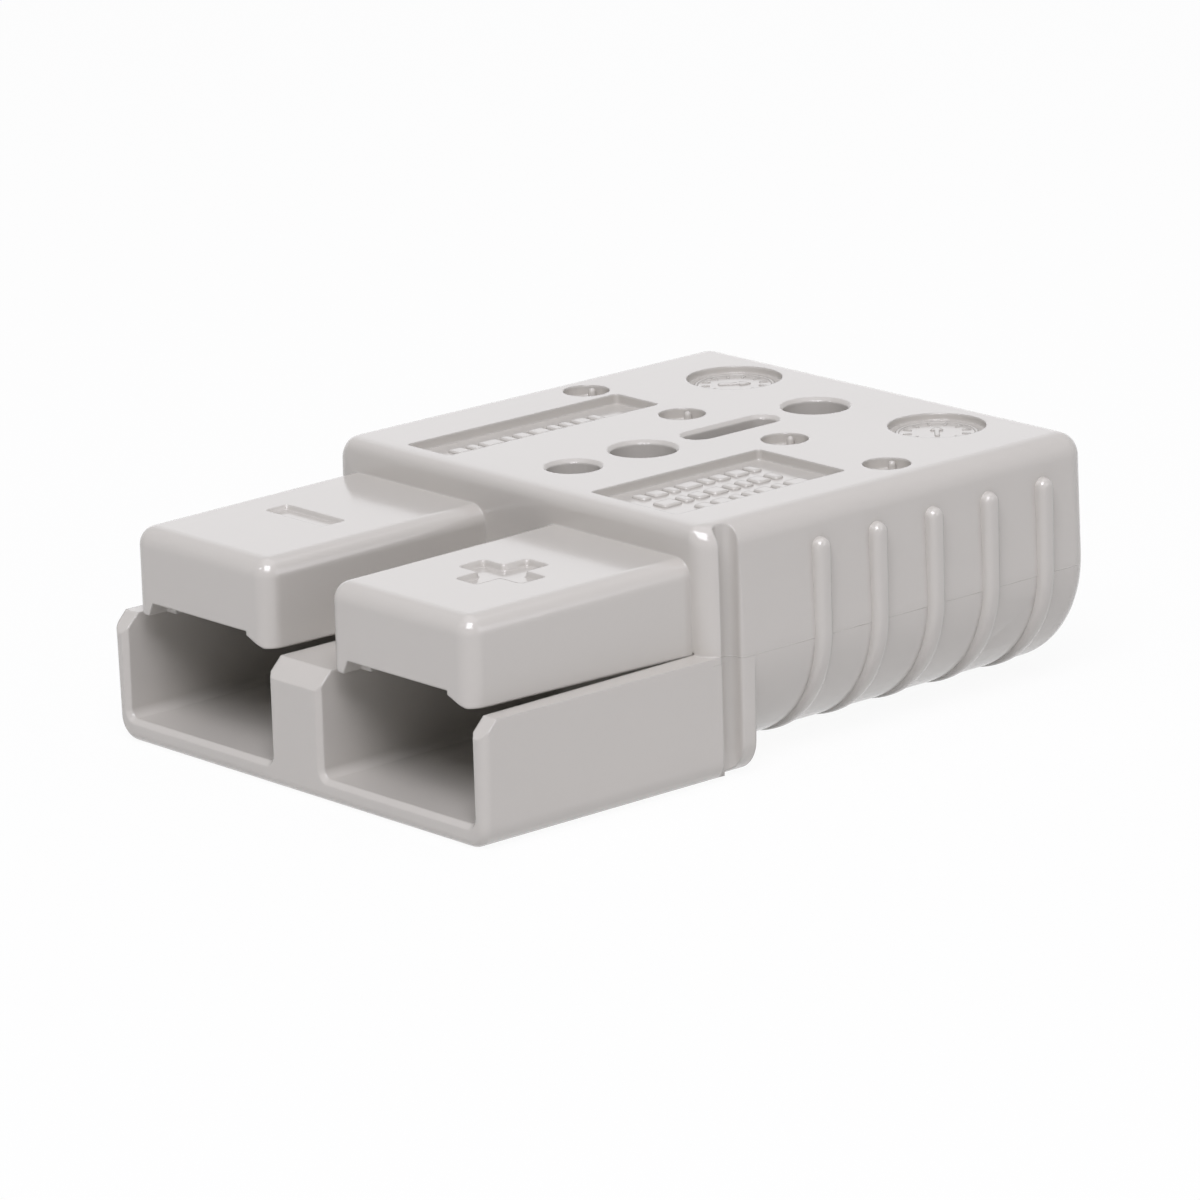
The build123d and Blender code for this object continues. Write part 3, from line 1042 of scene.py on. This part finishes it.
@dataclass(frozen=True)
class PhotoCamera:
    """The photograph's camera: angles in degrees about the object, its distance and its lens."""

    azimuth: float = 49.08
    elevation: float = 15.62
    roll: float = -1.80
    distance: float = 702.20 * MM
    aside: float = -2.42 * MM
    above: float = -2.63 * MM
    target_z: float = 13.0 * MM
    sensor_width: float = 36.0
    lens: float = 212.84
    shift_x: float = 0.01664
    shift_y: float = 0.00604

    def build(self) -> None:
        """Builds the camera and sets it as the scene's."""
        azimuth, elevation = math.radians(self.azimuth), math.radians(self.elevation)
        roll = math.radians(self.roll)
        level = math.cos(elevation)
        back = Vector((math.sin(azimuth) * level, -math.cos(azimuth) * level, math.sin(elevation)))
        right = Vector((math.cos(azimuth), math.sin(azimuth), 0.0))
        up = back.cross(right)
        across = right * math.cos(roll) + up * math.sin(roll)
        upright = up * math.cos(roll) - right * math.sin(roll)
        target = Vector((0.0, 0.0, self.target_z))
        place = target + back * self.distance + across * self.aside + upright * self.above
        data = bpy.data.cameras.new("photo_view")
        data.sensor_fit = "HORIZONTAL"
        data.sensor_width = self.sensor_width
        data.lens = self.lens
        data.shift_x = self.shift_x
        data.shift_y = self.shift_y
        camera = bpy.data.objects.new("photo_view", data)
        turned = Matrix((across, upright, back)).transposed()
        camera.matrix_world = Matrix.Translation(place) @ turned.to_4x4()
        bpy.context.scene.collection.objects.link(camera)
        bpy.context.scene.camera = camera


@dataclass
class Studio:
    """Pale floor, white surround, soft lamps and the camera at the photograph's angle."""

    floor_size: float = 3.0
    floor_drop: float = 0.02 * MM
    floor_color: tuple[float, float, float, float] = (0.78, 0.78, 0.78, 1.0)
    floor_roughness: float = 0.9
    ambient: float = 0.11
    floor_glow: float = 0.94
    lamp_color: tuple[float, float, float] = (1.0, 0.985, 1.045)
    lamps: tuple[SoftLamp, ...] = (
        SoftLamp("overhead", (-0.05, 0.10, 1.30), 1.30, 4.0),
        SoftLamp("back_softbox", (-0.88, 0.76, 0.40), 0.90, 0.9),
        SoftLamp("key_softbox", (0.58, -0.64, 1.15), 0.80, 18.0),
        SoftLamp("side_softbox", (0.95, 0.42, 0.42), 0.55, 1.4),
        SoftLamp("front_spot", (-0.20, -0.75, 0.75), 0.05, 0.5),
    )
    camera: PhotoCamera = PhotoCamera()

    def build(self) -> None:
        """Builds the studio."""
        self.floor()
        self.surround()
        for lamp in self.lamps:
            self.hang(lamp)
        self.camera.build()
        bpy.context.scene.view_settings.view_transform = "Standard"

    def seen_rays(self, nodes: Nodes) -> bpy.types.NodeSocket:
        """Tells the rays that see the studio from those that light the object.

        Args:
            nodes: Node helper of the material or world.

        Returns:
            Output that is 1 for rays from the camera, a reflection or a transmission, else 0.
        """
        path = nodes.add("ShaderNodeLightPath")
        shiny = nodes.math("MAXIMUM", path.outputs["Is Glossy Ray"], path.outputs["Is Transmission Ray"])
        return nodes.math("MAXIMUM", path.outputs["Is Camera Ray"], shiny)

    def floor(self) -> None:
        """Builds the pale floor, which shows near white and keeps a faint shadow."""
        corners = box_corners(self.floor_size, self.floor_size)
        points = np.column_stack((corners, np.full(len(corners), -self.floor_drop)))
        floor = add_object("studio_floor", points, [[0, 1, 2, 3]])
        material = bpy.data.materials.new("pale_floor")
        material.use_nodes = True
        nodes = Nodes(material.node_tree)
        shader = material.node_tree.nodes["Principled BSDF"]
        shader.inputs["Base Color"].default_value = self.floor_color
        shader.inputs["Roughness"].default_value = self.floor_roughness
        glow = nodes.add("ShaderNodeEmission", Strength_in=1.0)
        mix = nodes.add("ShaderNodeMixShader")
        nodes.feed(nodes.math("MULTIPLY", self.seen_rays(nodes), self.floor_glow), mix.inputs[0])
        nodes.feed(shader.outputs[0], mix.inputs[1])
        nodes.feed(glow.outputs[0], mix.inputs[2])
        nodes.feed(mix.outputs[0], material.node_tree.nodes["Material Output"].inputs["Surface"])
        floor.data.materials.append(material)

    def surround(self) -> None:
        """Builds the world: white where it is seen, softer where it lights the object."""
        world = bpy.data.worlds.new("studio_surround")
        world.use_nodes = True
        nodes = Nodes(world.node_tree)
        light = world.node_tree.nodes["Background"]
        light.inputs["Color"].default_value = (1.0, 1.0, 1.0, 1.0)
        light.inputs["Strength"].default_value = self.ambient
        seen = nodes.add("ShaderNodeBackground", Color_in=(1.0, 1.0, 1.0, 1.0), Strength_in=1.0)
        mix = nodes.add("ShaderNodeMixShader")
        nodes.feed(self.seen_rays(nodes), mix.inputs[0])
        nodes.feed(light.outputs[0], mix.inputs[1])
        nodes.feed(seen.outputs[0], mix.inputs[2])
        nodes.feed(mix.outputs[0], world.node_tree.nodes["World Output"].inputs["Surface"])
        bpy.context.scene.world = world

    def hang(self, lamp: SoftLamp) -> None:
        """Hangs a square lamp and turns it to the object.

        Args:
            lamp: The lamp.
        """
        data = bpy.data.lights.new(lamp.name, "AREA")
        data.size = lamp.size
        data.energy = lamp.power
        data.color = self.lamp_color
        hung = bpy.data.objects.new(lamp.name, data)
        hung.location = lamp.place
        hung.rotation_mode = "QUATERNION"
        aim = Vector((0.0, 0.0, PARTING_Z)) - Vector(lamp.place)
        hung.rotation_quaternion = aim.to_track_quat("-Z", "Y")
        bpy.context.scene.collection.objects.link(hung)


def main() -> None:
    """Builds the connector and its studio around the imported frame."""
    logging.basicConfig(level=logging.INFO, format="%(name)s: %(message)s")
    bpy.ops.wm.read_factory_settings(use_empty=True)
    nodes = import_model()["nodes"]
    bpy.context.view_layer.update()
    for build_group in (moulded_skin_group, parting_line_group, drawn_metal_group):
        build_group()
    finishes = Finishes(
        housing=MouldedPlastic().build(),
        contact=DrawnMetal(
            name="silver_plating",
            color=(0.80, 0.79, 0.76, 1.0),
            tarnish=(0.60, 0.56, 0.50, 1.0),
            tarnish_amount=0.18,
            roughness=0.30,
            scratch_height=0.0014 * MM,
        ).build(),
        spring=DrawnMetal(
            name="spring_strip",
            color=(0.55, 0.55, 0.56, 1.0),
            tarnish=(0.42, 0.39, 0.36, 1.0),
            tarnish_amount=0.15,
            roughness=0.34,
            scratch_height=0.0018 * MM,
        ).build(),
    )
    Housing(nodes["housing"], finishes.housing).build()
    for name in ("contact_negative", "contact_positive"):
        MetalPart(nodes[name], finishes.contact, Slot.CONTACT).build()
    for name in ("spring_negative", "spring_positive"):
        MetalPart(nodes[name], finishes.spring, Slot.SPRING).build()
    Studio().build()


if __name__ == "__main__":
    main()
